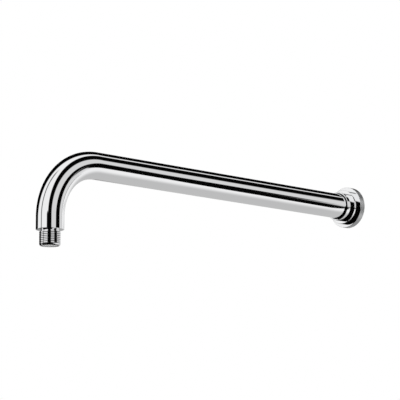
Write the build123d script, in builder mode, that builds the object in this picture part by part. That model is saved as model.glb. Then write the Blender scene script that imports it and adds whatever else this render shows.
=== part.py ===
"""Wall-mounted shower arm: a chromed brass tube with one right-angle bend, a threaded nipple
brazed into each end, and a stepped flange that slides on the tube to cover the hole in the wall.

Sizes are in millimetres. The wall's face is the plane Y = 0, the arm stands out along -Y and its
outlet points down, along -Z. The origin is on the tube's axis, in the wall's face.
"""

import os

from build123d import *

# Tube
tube_diameter = 28.0
tube_wall = 1.2
# From the wall's face to the centre of the outlet
projection = 450.0
# Bend radius to the tube's axis
bend_radius = 58.0
bend_angle = 90.0
# Straight tube below the bend
leg_length = 13.0
# The tube stops short of the wall, and only the thread goes in
wall_setback = 2.0
tube_end_chamfer = 0.4

# Threaded nipples: half-inch parallel pipe thread, shown at its outer diameter
thread_diameter = 20.955
thread_chamfer = 1.2
relief_length = 2.0
relief_depth = 1.3
# From the tube's end to the tip of the outlet thread
outlet_thread_length = 16.0
# From the wall's face to the tip of the inlet thread
inlet_thread_reach = 12.0
nipple_bore = 14.0
nipple_bore_chamfer = 0.5
# Part of the nipple inside the tube, and the room for the braze around it
spigot_length = 8.0
braze_gap = 0.05

# Flange: three tiers around the bore, each wider than the one in front of it
bore_clearance = 1.0
collar_wall = 1.2
step_width = 3.3
rim_width = 3.7
# Height of each tier's front above the wall
rim_height = 7.0
step_height = 13.2
flange_height = 21.5
edge_break = 0.6
bore_chamfer = 0.3
# Hollow in the flange's back, which leaves a flat rim against the wall
recess_depth = 3.0
recess_rim = 3.0

# Square rubber ring in the flange's bore
ring_thickness = 2.0
ring_clearance = 0.05
groove_side_room = 0.3

tube_radius = tube_diameter / 2
tube_bore_radius = tube_radius - tube_wall
straight_end = projection - bend_radius
flange_bore_radius = tube_radius + bore_clearance
collar_radius = flange_bore_radius + collar_wall
step_radius = collar_radius + step_width
rim_radius = step_radius + rim_width
recess_radius = rim_radius - recess_rim
ring_inner_radius = tube_radius + ring_clearance
groove_radius = ring_inner_radius + ring_thickness + ring_clearance
groove_width = ring_thickness + 2 * groove_side_room
groove_height = (rim_height + step_height) / 2

os.makedirs("parts", exist_ok=True)


def write_piece(piece, name):
    """Label a finished piece and write it to a file of its own."""
    piece.part.label = name
    export_step(piece.part, f"parts/{name}.step")


def turned_nipple(seat, thread_length):
    """A nipple turned about the seat's local Y axis, which points out of the tube's end."""
    thread_radius = thread_diameter / 2
    relief_radius = thread_radius - relief_depth
    bore_radius = nipple_bore / 2
    with BuildPart() as nipple:
        with BuildSketch(seat):
            with BuildLine():
                Polyline(
                    (bore_radius, -spigot_length),
                    (tube_bore_radius - braze_gap, -spigot_length),
                    (tube_bore_radius - braze_gap, 0),
                    (relief_radius, 0),
                    (relief_radius, relief_length),
                    (thread_radius, relief_length),
                    (thread_radius, thread_length),
                    (bore_radius, thread_length),
                    close=True,
                )
            make_face()
        revolve(axis=Axis(seat.origin, seat.y_dir))
        tip = nipple.faces().sort_by(Axis(seat.origin, seat.y_dir))[-1]
        chamfer(tip.outer_wire().edges(), length=thread_chamfer)
        tip = nipple.faces().filter_by(GeomType.PLANE).sort_by(Axis(seat.origin, seat.y_dir))[-1]
        chamfer(tip.inner_wires().edges(), length=nipple_bore_chamfer)
    return nipple


# Tube: a ring swept along a straight run, the bend and a short leg
with BuildPart() as arm_tube:
    with BuildLine(Plane.YZ) as route:
        run = Line((-wall_setback, 0), (-straight_end, 0))
        bend = JernArc(run @ 1, run % 1, bend_radius, bend_angle)
        leg = Line(bend @ 1, bend @ 1 + leg_length * (bend % 1))
    with BuildSketch(Plane(route.line @ 0, z_dir=route.line % 0)):
        Circle(tube_radius)
        Circle(tube_bore_radius, mode=Mode.SUBTRACT)
    sweep(path=route.line)
    tube_ends = arm_tube.faces().filter_by(GeomType.PLANE)
    chamfer([end.outer_wire().edge() for end in tube_ends], length=tube_end_chamfer)

# Nipples: one at each end of the tube, pointing the way the water leaves or the wall lies
outlet_seat = Plane(leg @ 1, x_dir=(1, 0, 0), z_dir=(leg % 1).cross(Vector(-1, 0, 0)))
outlet_nipple = turned_nipple(outlet_seat, outlet_thread_length)

inlet_seat = Plane((0, -wall_setback, 0), x_dir=(1, 0, 0), z_dir=(0, 0, 1))
inlet_nipple = turned_nipple(inlet_seat, wall_setback + inlet_thread_reach)

# Flange: a stepped ring turned about the tube's axis, hollow at the back
with BuildPart() as wall_flange:
    with BuildSketch(Plane.XY):
        with BuildLine():
            Polyline(
                (recess_radius, 0),
                (rim_radius, 0),
                (rim_radius, -rim_height),
                (step_radius, -rim_height),
                (step_radius, -step_height),
                (collar_radius, -step_height),
                (collar_radius, -flange_height),
                (flange_bore_radius, -flange_height),
                (flange_bore_radius, -recess_depth),
                (recess_radius, -recess_depth),
                close=True,
            )
        make_face()
    revolve(axis=Axis.Y)
    tier_fronts = wall_flange.faces().filter_by(Axis.Y).group_by(Axis.Y)[:3]
    front_edges = [front.sort_by(SortBy.AREA)[-1].outer_wire().edge() for front in tier_fronts]
    chamfer(front_edges, length=edge_break)
    mouth = wall_flange.faces().filter_by(GeomType.PLANE).sort_by(Axis.Y)[0]
    chamfer(mouth.inner_wires().edges(), length=bore_chamfer)
    with BuildSketch(Plane.XY):
        with Locations((flange_bore_radius, -groove_height)):
            groove_depth = groove_radius - flange_bore_radius
            Rectangle(groove_depth, groove_width, align=(Align.MIN, Align.CENTER))
    revolve(axis=Axis.Y, mode=Mode.SUBTRACT)

# Rubber ring, seated in the flange's groove and gripping the tube
with BuildPart() as flange_grip_ring:
    with BuildSketch(Plane.XY):
        with Locations((ring_inner_radius, -groove_height)):
            Rectangle(ring_thickness, ring_thickness, align=(Align.MIN, Align.CENTER))
    revolve(axis=Axis.Y)

write_piece(arm_tube, "arm_tube")
write_piece(outlet_nipple, "outlet_nipple")
write_piece(inlet_nipple, "inlet_nipple")
write_piece(wall_flange, "wall_flange")
write_piece(flange_grip_ring, "flange_grip_ring")
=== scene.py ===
# %% [markdown]
# # A chromed shower arm
# The real arm is a bent brass tube with a threaded nipple brazed into each end and a stepped flange
# that slides along it to the wall. The solids come from the CAD model, in metres, with the wall's face
# at Y = 0. They could be shown as they are, but a mirror finish shows every facet, so each chromed
# piece is modelled again here with rounder edges and finer turns, in the same place and to the same
# sizes.

import math

import bmesh
import bpy
from mathutils import Euler, Matrix, Vector


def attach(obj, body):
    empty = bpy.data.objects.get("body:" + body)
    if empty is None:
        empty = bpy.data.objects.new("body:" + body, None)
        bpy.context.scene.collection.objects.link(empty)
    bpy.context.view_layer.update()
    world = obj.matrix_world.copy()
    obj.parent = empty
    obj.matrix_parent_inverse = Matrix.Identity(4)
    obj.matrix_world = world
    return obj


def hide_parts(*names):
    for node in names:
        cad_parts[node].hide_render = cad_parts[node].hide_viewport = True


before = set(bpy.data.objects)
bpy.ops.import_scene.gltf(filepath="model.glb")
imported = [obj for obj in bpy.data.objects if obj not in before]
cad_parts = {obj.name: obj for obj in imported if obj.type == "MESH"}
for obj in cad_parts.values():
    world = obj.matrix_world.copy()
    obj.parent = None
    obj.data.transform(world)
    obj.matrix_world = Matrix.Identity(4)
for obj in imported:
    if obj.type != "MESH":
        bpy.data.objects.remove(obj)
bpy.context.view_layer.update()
scene = bpy.context.scene
print("solids:", sorted(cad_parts))

# %% [markdown]
# ## The camera
# The photo was taken with a long lens from a little below the arm, to the right of the outlet. A camera
# can be set by eye, but here it was fitted to the tube's outline, so its place and angles are plain
# numbers. The focal length is known in pixels of the photo, and Blender wants it in millimetres on its
# sensor.

# %% Camera
photo_width = 400
focal_pixels = 1850.0
camera_place = (1.38113, -1.60806, -0.33979)
heading, tilt, roll = (math.radians(angle) for angle in (45.330, 9.411, -0.251))
camera_data = bpy.data.cameras.new("photo_camera")
camera_data.sensor_width = 36.0
camera_data.lens = camera_data.sensor_width * focal_pixels / photo_width
camera = bpy.data.objects.new("photo_camera", camera_data)
scene.collection.objects.link(camera)
camera.location = camera_place
level_turn = Euler((math.pi / 2 + tilt, 0, heading)).to_matrix()
camera.rotation_euler = (level_turn @ Matrix.Rotation(roll, 3, "Z")).to_euler()
scene.camera = camera
print(f"lens: {camera_data.lens:.1f} mm")

# %% [markdown]
# ## Sums with sockets
# Shader maths in Blender is a web of small nodes. Adding them one by one is long to read, so this class
# wraps a socket: a sum written in Python adds the Math nodes for it, and `node` adds any other kind of
# node.


# %% Socket sums
class Shade:
    """A node tree's socket, which can be used in a Python sum."""

    def __init__(self, tree, socket=None):
        self.tree = tree
        self.socket = socket

    def node(self, kind, settings=None, values=None, output=0):
        """Add a node, set its settings, then fill or link its sockets, and give back one output."""
        made = self.tree.nodes.new("ShaderNode" + kind)
        for name, setting in (settings or {}).items():
            setattr(made, name, setting)
        for name, value in (values or {}).items():
            if isinstance(value, Shade):
                self.tree.links.new(value.socket, made.inputs[name])
            else:
                made.inputs[name].default_value = value
        return Shade(self.tree, made.outputs[output] if made.outputs else None)

    def sum(self, operation, *terms):
        """A Math node on one or two terms."""
        return self.node("Math", {"operation": operation}, dict(enumerate(terms)))

    def __add__(self, other):
        return self.sum("ADD", self, other)

    __radd__ = __add__

    def __sub__(self, other):
        return self.sum("SUBTRACT", self, other)

    def __rsub__(self, other):
        return self.sum("SUBTRACT", other, self)

    def __mul__(self, other):
        return self.sum("MULTIPLY", self, other)

    __rmul__ = __mul__

    def __neg__(self):
        return self.sum("MULTIPLY", self, -1)

    def __abs__(self):
        return self.sum("ABSOLUTE", self)

    def __or__(self, other):
        return self.sum("MAXIMUM", self, other)

    def past(self, edge, soft):
        """0 below the edge, 1 above it, with a smooth change of the given half width."""
        limits = {"Value": self, "From Min": edge - soft, "From Max": edge + soft}
        return self.node("MapRange", {"interpolation_type": "SMOOTHSTEP"}, limits)

    def covered(self, share, value):
        """The same, but with another value laid over it where the share is 1."""
        return self * (1 - share) + value * share


print("sums ready")

# %% [markdown]
# ## The light tent
# Chrome has no colour of its own: the stripes in the photo are the studio around it. Polished taps are
# shot in a tent of white cloth whose gaps show as black bands. The tent could be built from panels and
# lamps, but only what the chrome mirrors matters, so it is painted on the world: a direction goes in
# and a brightness comes out. A direction has three parts: right is +X, back is +Y, towards the wall,
# and up is +Z.

# %% Directions
tent = bpy.data.worlds.new("light_tent")
scene.world = tent
tent.use_nodes = True
tent.node_tree.nodes.clear()
cloth = Shade(tent.node_tree)
direction = cloth.node("TexCoord", output="Generated")
parts = [cloth.node("SeparateXYZ", values={"Vector": direction}, output=axis) for axis in "XYZ"]
right, back, up = parts


def facing(way):
    """How far a direction points the given way, from -1 to 1."""
    way = Vector(way).normalized()
    return right * way.x + back * way.y + up * way.z


def spot(way, reach, soft=2.0):
    """1 within some degrees of the given way, 0 farther off, with a soft edge."""
    outer, inner = (math.cos(math.radians(reach + side * soft)) for side in (1, -1))
    return facing(way).past((outer + inner) / 2, (inner - outer) / 2)


print("tent nodes:", len(tent.node_tree.nodes))

# %% [markdown]
# ## The tent's cloth
# The cloth isn't equally bright all over. On the right side it hangs in the shade below an arch, and
# low on the left the chrome mirrors a table of middle grey, which is the broad grey stripe under the
# tube. Both are drawn as soft patches on an even white, because a soft edge is what cloth gives.

# %% Cloth
white, shade_depth, table_grey = 0.92, 0.22, 0.54
arch_way, shade_reach = (0.964, 0.238, 0.122), 54
table_way = (-0.66, 0, -0.75)
under_arch = spot(arch_way, shade_reach, soft=7) * up.past(-0.15, 0.10)
table = facing(table_way).past(0.175, 0.225) * back.past(0.25, 0.15)
brightness = (white - shade_depth * under_arch).covered(table, table_grey)
print("tent nodes:", len(tent.node_tree.nodes))

# %% [markdown]
# ## The room and the arch
# The tube shows three black bands. Its upper edge mirrors the dark room behind the arm, on the left,
# and the next band is a gap in the cloth that arches over the right side, from the front to the back.
# The gap is a ring: a wide disc less a narrower one, cut off at its foot. A small disc widens it where
# the leg mirrors it.

# %% Room and arch
room_way, room_reach = (-0.824, 0.476, 0.309), 55
room_top_way = (-0.229, -0.433, 0.872)
arch_outer, arch_inner = 70, 42
arch_front_way, arch_front_reach = (0.496, -0.860, 0.122), 6.5
room_behind = spot(room_way, room_reach) * facing(room_top_way).past(-0.05, 0.03)
arch_foot = (up - 0.6 * back).past(0, 0.05)
arch = spot(arch_way, arch_outer) * (1 - spot(arch_way, arch_inner)) * arch_foot
arch = arch | spot(arch_front_way, arch_front_reach)
print("tent nodes:", len(tent.node_tree.nodes))

# %% [markdown]
# ## The stand and the openings
# The third band on the bend is a dark stand low on the right, drawn as three discs that run together.
# The camera looks in through an opening below the arch, and the flange's steps, which mirror it twice,
# are black there. The last gaps are the bare floor below the arm and one low on the left. A thin pole
# at the front darkens the cloth without hiding it.

# %% Stand and openings
gap_dark, pole_depth = 0.001, 0.85
stand_discs = [((0.899, 0.429, 0.087), 17.7), ((0.755, 0.645, -0.122), 8.6)]
stand_discs += [((0.731, 0.682, 0.035), 4.9)]
stand_soft = 0.8
floor_discs = [((0, 0, -1), 38), ((-0.90, 0.25, -0.35), 26)]
pole_side = (0.906, -0.423, 0)
gaps = room_behind | arch
for way, reach in stand_discs:
    gaps = gaps | spot(way, reach, stand_soft)
for way, reach in floor_discs:
    gaps = gaps | spot(way, reach)
front_low = (-0.94 * back - 0.33 * up).past(0.24, 0.06)
camera_opening = front_low * (-up).past(-0.04, 0.06) * right.past(-0.74, 0.04)
brightness = brightness.covered(gaps | camera_opening, gap_dark)
pole = (1 - abs(facing(pole_side)).past(0.075, 0.04)) * (-back).past(0.3, 0.1)
brightness = brightness * (1 - pole_depth * pole)
print("tent nodes:", len(tent.node_tree.nodes))

# %% [markdown]
# ## Who sees the tent
# Only the mirror should see the stripes. The camera looks past the arm at a plain white background, and
# a matt surface such as the floor needs even light, so for those two kinds of ray the tent is plain
# white. The Standard view keeps that white at full white in the picture.

# %% Tent output
camera_ray = cloth.node("LightPath", output="Is Camera Ray")
diffuse_ray = cloth.node("LightPath", output="Is Diffuse Ray")
brightness = brightness.covered(camera_ray | diffuse_ray, 1)
glow = cloth.node("Background", values={"Color": (1, 1, 1, 1), "Strength": brightness})
cloth.node("OutputWorld", values={"Surface": glow})
scene.view_settings.view_transform = "Standard"
print("tent nodes:", len(tent.node_tree.nodes))

# %% [markdown]
# ## The floor
# The arm hangs on a wall, so the floor is far below it and out of the photo. A room could be built
# around it, but a pale plane is enough for the views from above. The chrome doesn't mirror it, because
# the tent already has its own floor and table.


# %% Floor
def add_to_studio(mesh, name):
    """Turn a bmesh into an object of the studio, which is no part of the arm."""
    data = bpy.data.meshes.new(name)
    mesh.to_mesh(data)
    mesh.free()
    thing = bpy.data.objects.new(name, data)
    scene.collection.objects.link(thing)
    return thing


floor_drop, floor_reach = 1.2, 6.0
floor_mesh = bmesh.new()
bmesh.ops.create_grid(floor_mesh, x_segments=1, y_segments=1, size=floor_reach)
bmesh.ops.translate(floor_mesh, verts=floor_mesh.verts, vec=(0, 0, -floor_drop))
floor = add_to_studio(floor_mesh, "floor")
floor.visible_glossy = False
print("floor at", -floor_drop, "m")

# %% [markdown]
# ## The dark card
# The third band is thin all along the straight tube, because what it mirrors stands close by, and the
# world is endlessly far away. So a narrow dark card stands beside the tube. It leads away from the
# bend, which sees only its edge and mirrors the stand instead. Its corners are pairs, how far from its
# foot and how high, and it is then turned and moved into place. The card is there for the mirror alone:
# the camera, the matt surfaces and the shadows don't see it.

# %% Card
card_heading, card_foot = 65, (0, -0.43, 0)
lower_edge = [(0.072, -0.009), (0.235, -0.042), (0.634, -0.160), (1.145, -0.358)]
upper_edge = [(0.925, -0.080), (0.567, -0.030), (0.235, 0.003), (0.072, 0.0)]
card_mesh = bmesh.new()
corners = [card_mesh.verts.new((away, 0, height)) for away, height in lower_edge + upper_edge]
card_mesh.faces.new(corners)
card_turn = Matrix.Rotation(math.radians(card_heading), 3, "Z")
bmesh.ops.rotate(card_mesh, verts=card_mesh.verts, matrix=card_turn)
bmesh.ops.translate(card_mesh, verts=card_mesh.verts, vec=card_foot)
card = add_to_studio(card_mesh, "dark_card")
card.visible_camera = card.visible_diffuse = card.visible_shadow = False
print("card corners:", len(card.data.vertices))

# %% [markdown]
# ## Finishes
# Each finish starts the same way: a Principled shader, with the numbers that don't vary set on its own
# sockets, and the position on the piece to hang patterns on. Pictures could carry the patterns, but
# noise made by nodes needs no files and has no seams.


# %% New finish
def new_finish(name, metallic, roughness):
    """A material with a Principled shader; gives the material, its shader and the surface position."""
    finish = bpy.data.materials.new(name)
    finish.use_nodes = True
    finish.node_tree.nodes.clear()
    shader = finish.node_tree.nodes.new("ShaderNodeBsdfPrincipled")
    shader.inputs["Metallic"].default_value = metallic
    shader.inputs["Roughness"].default_value = roughness
    output = finish.node_tree.nodes.new("ShaderNodeOutputMaterial")
    finish.node_tree.links.new(shader.outputs["BSDF"], output.inputs["Surface"])
    place = Shade(finish.node_tree).node("TexCoord", output="Object")
    return finish, shader, place


def vary(shader, socket, shade):
    """Link what changes over the surface to one socket of the shader."""
    shade.tree.links.new(shade.socket, shader.inputs[socket])


def blend_colours(share, first, second):
    """Mix two colours by a share from 0 to 1; each is three numbers or another node's colour."""
    ends = [colour if isinstance(colour, Shade) else (*colour, 1) for colour in (first, second)]
    return share.node("Mix", {"data_type": "RGBA"}, {0: share, 6: ends[0], 7: ends[1]}, output=2)


print("finishes ready")

# %% [markdown]
# ## Polished chrome
# The tube and the flange are buffed brass with a thin chrome plate. Chrome is a faintly blue, nearly
# white metal, and buffing leaves a haze too weak to see as scratches. Scratches could be drawn as a
# bump, but here two noises are enough: one clouds the colour, and one, drawn out along the tube,
# changes how sharp the mirror is.


# %% Chrome
def chrome_plate(name):
    """A mirror finish; gives the material, its shader, the position, the colour and the roughness."""
    finish, shader, place = new_finish(name, 1.0, 0.03)
    cloud = place.node("TexNoise", values={"Vector": place, "Scale": 18.0, "Detail": 3.0})
    colour = blend_colours(cloud, (0.90, 0.905, 0.915), (0.95, 0.952, 0.955))
    drawn_out = place.node("Mapping", values={"Vector": place, "Scale": (260.0, 24.0, 260.0)})
    haze = place.node("TexNoise", values={"Vector": drawn_out, "Scale": 1.0, "Detail": 2.0})
    return finish, shader, place, colour, 0.018 + 0.03 * haze


tube_chrome, tube_shader, _, tube_colour, tube_haze = chrome_plate("polished_chrome")
vary(tube_shader, "Base Color", tube_colour)
vary(tube_shader, "Roughness", tube_haze)
print("made", tube_chrome.name)

# %% [markdown]
# ## The flange's rim
# In the photo the flange is polished like the tube, but the side of its rim is an even grey: it mirrors
# the wall beside the flange, which lies in shade. That grey is painted into the rim side's colour, as a
# painted reflection of the shaded wall, and the side is made rougher too. It could be a second material
# on those faces, but one finish is enough: the distance from the flange's axis finds that side, and a
# noise drawn out around it gives the faint turning marks.

# %% Flange chrome
rim_side_radius, rim_side_blend = 0.0231, 0.00008
flange_chrome, flange_shader, flange_place, flange_colour, flange_haze = chrome_plate("flange_chrome")
off_axis = flange_place.node("VectorMath", {"operation": "MULTIPLY"}, {0: flange_place, 1: (1, 0, 1)})
radius = flange_place.node("VectorMath", {"operation": "LENGTH"}, {0: off_axis}, output="Value")
rim_side = radius.past(rim_side_radius, rim_side_blend)
rows = flange_place.node("Mapping", values={"Vector": flange_place, "Scale": (40.0, 1600.0, 40.0)})
turning_marks = flange_place.node("TexNoise", values={"Vector": rows, "Scale": 1.0, "Detail": 2.0})
# painted reflection: the rim side's grey stands in for the shaded wall that the rim mirrors
painted_rim_reflection = blend_colours(turning_marks, (0.50, 0.505, 0.51), (0.74, 0.745, 0.75))
vary(flange_shader, "Base Color", blend_colours(rim_side, flange_colour, painted_rim_reflection))
vary(flange_shader, "Roughness", flange_haze + rim_side * (0.30 + 0.08 * turning_marks))
print("made", flange_chrome.name)

# %% [markdown]
# ## Plated thread
# The threads are cut before plating, so the plate is duller down in the turns and on the tip's face,
# and both are also painted darker: down in the turns this is painted shade. Lines of painted shade could
# be drawn by height, but they would miss the helix. So each thread vertex carries its depth, 0 on the
# crest and 1 at the root, as an attribute, and the finish darkens with it, as painted shade, and
# roughens with it. No wheel reaches into the bore, so the plate is left pale and matt there, which a
# second attribute marks.

# %% Thread plate
plate, plate_shader, plate_place = new_finish("plated_thread", 1.0, 0.12)
root = plate_place.node("Attribute", {"attribute_name": "thread_depth"}, output="Fac")
matt_bore = plate_place.node("Attribute", {"attribute_name": "matt_bore"}, output="Fac")
tool_marks = plate_place.node("TexNoise", values={"Vector": plate_place, "Scale": 700.0, "Detail": 2.0})
# painted shade: the colour darkens from the crest down into the thread's root, and on the tip's face
plate_with_painted_shade = blend_colours(root, (0.82, 0.82, 0.83), (0.22, 0.22, 0.225))
vary(plate_shader, "Base Color", blend_colours(matt_bore, plate_with_painted_shade, (0.90, 0.90, 0.90)))
vary(plate_shader, "Metallic", 1 - 0.9 * matt_bore)
vary(plate_shader, "Roughness", 0.02 + 0.14 * root + 0.04 * tool_marks + 0.6 * matt_bore)
print("made", plate.name)

# %% [markdown]
# ## Rubber
# The ring inside the flange is moulded rubber, nearly black, with a matt skin that is a little mottled.
# One flat colour would look like paint, so a fine noise goes into the colour, the roughness and a
# slight bump.

# %% Rubber
rubber, rubber_shader, rubber_place = new_finish("ring_rubber", 0.0, 0.8)
mottle = rubber_place.node("TexNoise", values={"Vector": rubber_place, "Scale": 420.0, "Detail": 4.0})
vary(rubber_shader, "Base Color", blend_colours(mottle, (0.018, 0.018, 0.019), (0.045, 0.044, 0.043)))
vary(rubber_shader, "Roughness", 0.66 + 0.22 * mottle)
skin = rubber_place.node("Bump", values={"Strength": 0.25, "Distance": 0.0001, "Height": mottle})
vary(rubber_shader, "Normal", skin)
print("made", rubber.name)

# %% [markdown]
# ## Floor paint and card cloth
# The floor has matt pale paint with a trace of unevenness, and the card is covered with black cloth. A
# real cloth shines a little, but the band it makes in the photo is fully black, so this one has no
# gloss and next to no colour.

# %% Studio finishes
paint, paint_shader, paint_place = new_finish("floor_paint", 0.0, 0.8)
patches = paint_place.node("TexNoise", values={"Vector": paint_place, "Scale": 2.0, "Detail": 3.0})
vary(paint_shader, "Base Color", blend_colours(patches, (0.80, 0.80, 0.80), (0.84, 0.84, 0.84)))
floor.data.materials.append(paint)
black, black_shader, black_place = new_finish("dark_cloth", 0.0, 1.0)
black_shader.inputs["Specular IOR Level"].default_value = 0.0
weave = black_place.node("TexNoise", values={"Vector": black_place, "Scale": 300.0})
vary(black_shader, "Base Color", blend_colours(weave, (0.001, 0.001, 0.001), (0.003, 0.003, 0.003)))
card.data.materials.append(black)
print("made", paint.name, "and", black.name)

# %% [markdown]
# ## From mesh to piece
# Every new piece ends the same way: its mesh becomes an object at the origin, shaded smooth but with
# true corners kept sharp, and it takes the place of its CAD node on the body that carries it. Even
# shading could come from many more faces, but weighted normals do it by leaning on the large faces.

# %% Finish a piece
corner_angle = math.radians(40)


def add_piece(mesh, name, finish, body, node):
    """Turn a bmesh into a piece that replaces a CAD node."""
    bmesh.ops.recalc_face_normals(mesh, faces=mesh.faces)
    data = bpy.data.meshes.new(name)
    mesh.to_mesh(data)
    mesh.free()
    data.shade_smooth()
    data.set_sharp_from_angle(angle=corner_angle)
    data.materials.append(finish)
    piece = bpy.data.objects.new(name, data)
    scene.collection.objects.link(piece)
    weighted = piece.modifiers.new("even_shading", "WEIGHTED_NORMAL")
    weighted.keep_sharp = True
    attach(piece, body)
    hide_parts(node)
    print(name, "faces:", len(data.polygons))


print("corners from", round(math.degrees(corner_angle)), "degrees stay sharp")

# %% [markdown]
# ## The tube
# The arm is one length of tube bent round a die. A curve with a round bevel would look right from
# outside, but it has no wall. So a circle is pulled along the straight run here, and the next steps
# spin it through the bend and give the skin the tube's wall.

# %% Straight run
millimetre = 0.001
tube_radius = 14.0 * millimetre
wall_setback = 2.0 * millimetre
projection = 450.0 * millimetre
bend_radius = 58.0 * millimetre
straight_end = projection - bend_radius
tube_sides = 144


def pull(mesh, edges, way):
    """Extrude a ring of edges and move the new ring; gives the new edges."""
    grown = bmesh.ops.extrude_edge_only(mesh, edges=edges)["geom"]
    moved = [part for part in grown if isinstance(part, bmesh.types.BMVert)]
    bmesh.ops.translate(mesh, verts=moved, vec=way)
    return [part for part in grown if isinstance(part, bmesh.types.BMEdge)]


tube = bmesh.new()
bmesh.ops.create_circle(tube, radius=tube_radius, segments=tube_sides)
bmesh.ops.rotate(tube, verts=tube.verts, matrix=Matrix.Rotation(math.pi / 2, 3, "X"))
bmesh.ops.translate(tube, verts=tube.verts, vec=(0, -wall_setback, 0))
run_end = pull(tube, tube.edges[:], (0, wall_setback - straight_end, 0))
print("run ends at", -straight_end)

# %% [markdown]
# ## The bend and the leg
# The bend is a quarter of a turn about a point below the end of the run, with a short straight leg
# under it. A Simple Deform modifier could bend a straight tube, but spin turns the last ring about
# that point in even steps and to an exact radius, so the mirror shows no kinks. Spin can leave the
# skin inside out, so doubles are merged and the normals worked out anew before the wall is made.

# %% Bend and leg
leg_length = 13.0 * millimetre
leg_end = bend_radius + leg_length
bend_steps = 72
merge_gap = 1e-7
bend_centre = (0, -straight_end, -bend_radius)
bend_start = run_end + list({vert for edge in run_end for vert in edge.verts})
bend = bmesh.ops.spin(
    tube, geom=bend_start, cent=bend_centre, axis=(1, 0, 0), angle=math.pi / 2, steps=bend_steps
)
bend_end = [part for part in bend["geom_last"] if isinstance(part, bmesh.types.BMEdge)]
pull(tube, bend_end, (0, 0, -leg_length))
bmesh.ops.remove_doubles(tube, verts=tube.verts, dist=merge_gap)
bmesh.ops.recalc_face_normals(tube, faces=tube.faces)
print("leg ends at", min(vert.co.z for vert in tube.verts))

# %% [markdown]
# ## The tube's wall and ends
# The tube is cut square and its ends are touched on a buffing wheel, so the outer edges are slightly
# round. The wall could be a second, narrower tube joined at the ends, but solidify grows it from the
# skin in one step. A bevel of a few segments then rounds the edges that lie on the tube's outer radius
# at its two ends.

# %% Wall and ends
tube_wall = 1.2 * millimetre
end_round = 0.4 * millimetre
same_place = 1e-6


def at_end(vert):
    """Is this vertex on the outer edge of one of the tube's two square ends?"""
    inlet_miss = (vert.co.y + wall_setback, math.hypot(vert.co.x, vert.co.z) - tube_radius)
    outlet_miss = (vert.co.z + leg_end, math.hypot(vert.co.x, vert.co.y + projection) - tube_radius)
    return any(all(abs(off) < same_place for off in miss) for miss in (inlet_miss, outlet_miss))


def round_edges(mesh, edges, radius, steps):
    """Round edges to a radius."""
    bmesh.ops.bevel(
        mesh, geom=edges, offset=radius, offset_type="OFFSET", segments=steps,
        profile=0.5, affect="EDGES", material=-1,
    )


bmesh.ops.solidify(tube, geom=tube.faces[:], thickness=tube_wall)
end_edges = [edge for edge in tube.edges if all(at_end(vert) for vert in edge.verts)]
print("end edges:", len(end_edges))
round_edges(tube, end_edges, end_round, steps=3)
add_piece(tube, "arm_tube_polished", tube_chrome, "arm", "arm_tube")

# %% [markdown]
# ## Turned pieces
# The flange and the nipples are turned on a lathe. They could be stacked from cylinders, but spinning
# their outline through a full circle is how the lathe does it, so one helper takes an outline of radius
# and height and spins it about the Z axis. The other finds the edges of one ring again, to round them
# or mark them.


# %% Lathe
def lathe(mesh, outline, sides):
    """Spin a closed outline of (radius, height) in millimetres about the Z axis."""
    points = [mesh.verts.new((across * millimetre, 0, height * millimetre)) for across, height in outline]
    edges = [mesh.edges.new(pair) for pair in zip(points, points[1:] + points[:1])]
    bmesh.ops.spin(
        mesh, geom=points + edges, cent=(0, 0, 0), axis=(0, 0, 1),
        angle=math.tau, steps=sides, use_merge=True,
    )
    bmesh.ops.remove_doubles(mesh, verts=mesh.verts, dist=merge_gap)


def ring_edges(mesh, across, height):
    """The edges of the ring at this radius and height, in millimetres."""

    def on_ring(vert):
        off = math.hypot(vert.co.x, vert.co.y) - across * millimetre
        return abs(off) < same_place and abs(vert.co.z - height * millimetre) < same_place

    return [edge for edge in mesh.edges if all(on_ring(vert) for vert in edge.verts)]


print("lathe ready")

# %% [markdown]
# ## The wall flange
# The flange hides the hole in the wall. It steps down from a wide rim to a collar just larger than the
# tube, and each step's front edge is round, which gives the thin bright rings in the photo. The
# collar's mouth is dished towards the tube, which makes the black ring there. The flange's back is
# hollow, and a groove in its bore holds the rubber ring. Each step could be a ring of its own, but all
# of it is one outline, so one turn of the lathe makes it, and it is then laid down along the tube.

# %% Flange
bore = 15.0
lip, lip_dip = 15.8, 0.46
collar, collar_front = 16.2, 21.5
step, step_front = 19.5, 13.2
rim, rim_front = 23.2, 7.0
hollow, hollow_depth = 20.2, 3.0
groove, groove_front, groove_back = 16.1, 11.4, 8.8
front_round = 0.35 * millimetre
flange_sides = 160
flange_outline = [(hollow, 0), (rim, 0), (rim, rim_front), (step, rim_front), (step, step_front)]
flange_outline += [(collar, step_front), (collar, collar_front), (lip, collar_front)]
flange_outline += [(bore, collar_front - lip_dip), (bore, groove_front), (groove, groove_front)]
flange_outline += [(groove, groove_back), (bore, groove_back)]
flange_outline += [(bore, hollow_depth), (hollow, hollow_depth)]
flange = bmesh.new()
lathe(flange, flange_outline, flange_sides)
fronts = [(rim, rim_front), (step, step_front), (collar, collar_front)]
front_edges = [edge for front in fronts for edge in ring_edges(flange, *front)]
round_edges(flange, front_edges, front_round, steps=5)
bmesh.ops.rotate(flange, verts=flange.verts, matrix=Matrix.Rotation(math.pi / 2, 3, "X"))
add_piece(flange, "wall_flange_polished", flange_chrome, "flange", "wall_flange")

# %% [markdown]
# ## The thread
# The half-inch pipe thread is cut into the nipple. Its groove could be cut with a boolean, but it is
# easier to add the ridge that is left: a tooth's outline is spun for many turns while it climbs, and
# its two ends are cut flat. The tooth's foot is sunk a little into the core, so that no gap shows
# between them.

# %% Thread ridge
pitch = 1.814
crest_radius = 20.955 / 2
root_radius = 18.631 / 2
sunk = 0.1
foot_share, crest_share = 0.48, 0.30
turn_steps = 72


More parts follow.
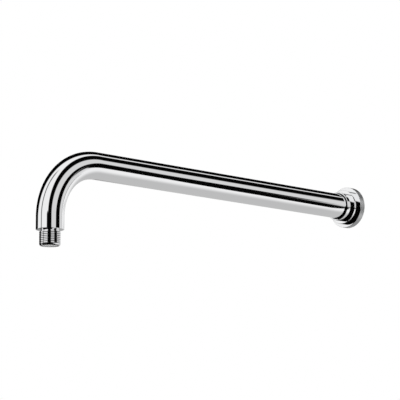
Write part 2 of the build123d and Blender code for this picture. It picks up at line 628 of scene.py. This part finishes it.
def thread_ridge(mesh, start, end):
    """A right-hand ridge around the Z axis, from one height to another, in millimetres."""
    turns = math.ceil((end - start) / pitch) + 2
    steps = turns * turn_steps
    foot_radius = root_radius - sunk
    tooth = [(foot_radius, -foot_share), (crest_radius, -crest_share)]
    tooth += [(crest_radius, crest_share), (foot_radius, foot_share)]
    places = [(across, 0, start + (share - 1) * pitch) for across, share in tooth]
    points = [mesh.verts.new([length * millimetre for length in place]) for place in places]
    edges = [mesh.edges.new(pair) for pair in zip(points, points[1:] + points[:1])]
    climb = (0, 0, turns * pitch * millimetre / steps)
    bmesh.ops.spin(
        mesh, geom=points + edges, cent=(0, 0, 0), axis=(0, 0, 1),
        dvec=climb, angle=turns * math.tau, steps=steps,
    )
    for height, outward in ((start, -1), (end, 1)):
        whole = mesh.verts[:] + mesh.edges[:] + mesh.faces[:]
        level = (0, 0, height * millimetre)
        cut = bmesh.ops.bisect_plane(
            mesh, geom=whole, dist=merge_gap, plane_co=level, plane_no=(0, 0, outward), clear_outer=True
        )
        cut_edges = [part for part in cut["geom_cut"] if isinstance(part, bmesh.types.BMEdge)]
        bmesh.ops.holes_fill(mesh, edges=cut_edges, sides=0)


print("thread pitch:", pitch, "mm")

# %% [markdown]
# ## The nipple
# A nipple is a turned core: a spigot that is brazed into the tube, a relief groove where the cutter
# runs out, and the thread, with the waterway through all of it. The ridge comes first, so that its tip
# can be turned down to a chamfer and its depth marked before the core joins it in the same mesh. The
# core's own edges at the thread's root and tip are marked as deep, and the bore's as matt.

# %% Nipple
tube_bore, braze_gap = 12.8, 0.05
spigot_radius, spigot_length = tube_bore - braze_gap, 8.0
relief_depth, relief_length = 1.3, 2.0
relief_radius = crest_radius - relief_depth
waterway, mouth_chamfer = 7.0, 0.5
tip_chamfer = 1.2
end_room, bore_room = 0.05, 0.05
core_sides = 120


def make_nipple(thread_length):
    """A nipple that stands up from the tube's end, with its thread along the Z axis."""
    mesh = bmesh.new()
    mesh.verts.layers.float.new("thread_depth")
    mesh.verts.layers.float.new("matt_bore")
    depth, matt = (mesh.verts.layers.float[name] for name in ("thread_depth", "matt_bore"))
    thread_ridge(mesh, relief_length + end_room, thread_length - end_room)
    for vert in mesh.verts:
        reach = math.hypot(vert.co.x, vert.co.y)
        into_tip = max(0, vert.co.z / millimetre - thread_length + tip_chamfer)
        limit = (crest_radius - into_tip) * millimetre
        if reach > limit:
            vert.co.xy *= limit / reach
        sinking = (crest_radius - reach / millimetre) / (crest_radius - root_radius)
        vert[depth] = min(1, max(0, sinking))
    outline = [(waterway, -spigot_length), (spigot_radius, -spigot_length), (spigot_radius, 0)]
    outline += [(relief_radius, 0), (relief_radius, relief_length), (root_radius, relief_length)]
    outline += [(root_radius, thread_length), (waterway + mouth_chamfer, thread_length)]
    outline += [(waterway, thread_length - mouth_chamfer)]
    lathe(mesh, outline, core_sides)
    for vert in mesh.verts:
        vert[matt] = float(math.hypot(vert.co.x, vert.co.y) < (waterway + bore_room) * millimetre)
    # full depth paints these rings dark: painted shade where the thread starts, and the tip's face is
    # painted dark too
    painted_dark_rings = [(root_radius, relief_length), (root_radius, thread_length)]
    painted_dark_rings += [(waterway + mouth_chamfer, thread_length)]
    for ring in painted_dark_rings:
        for edge in ring_edges(mesh, *ring):
            for vert in edge.verts:
                vert[depth] = 1
    return mesh


print("nipple ready")

# %% [markdown]
# ## Two nipples
# The same nipple is used at both ends, with a shorter thread at the wall. It could be one object turned
# two ways, but a finished piece stays unturned at the origin, so the mesh is turned instead: one upside
# down under the leg, the other pointing into the wall.

# %% Place the nipples
outlet_thread, inlet_thread = 16.0, 14.0
outlet = make_nipple(outlet_thread)
bmesh.ops.rotate(outlet, verts=outlet.verts, matrix=Matrix.Rotation(math.pi, 3, "X"))
bmesh.ops.translate(outlet, verts=outlet.verts, vec=(0, -projection, -leg_end))
add_piece(outlet, "outlet_nipple_threaded", plate, "arm", "outlet_nipple")
inlet = make_nipple(inlet_thread)
bmesh.ops.rotate(inlet, verts=inlet.verts, matrix=Matrix.Rotation(-math.pi / 2, 3, "X"))
bmesh.ops.translate(inlet, verts=inlet.verts, vec=(0, -wall_setback, 0))
add_piece(inlet, "inlet_nipple_threaded", plate, "arm", "inlet_nipple")

# %% [markdown]
# ## The rubber ring
# The ring sits in the flange's bore and grips the tube. It could be modelled again, but it hardly shows
# and has no mirror finish, so its CAD solid stays and takes the rubber.

# %% Ring
grip_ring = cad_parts["flange_grip_ring"]
for slot in grip_ring.material_slots:
    slot.material = rubber
print("ring faces:", len(grip_ring.data.polygons))
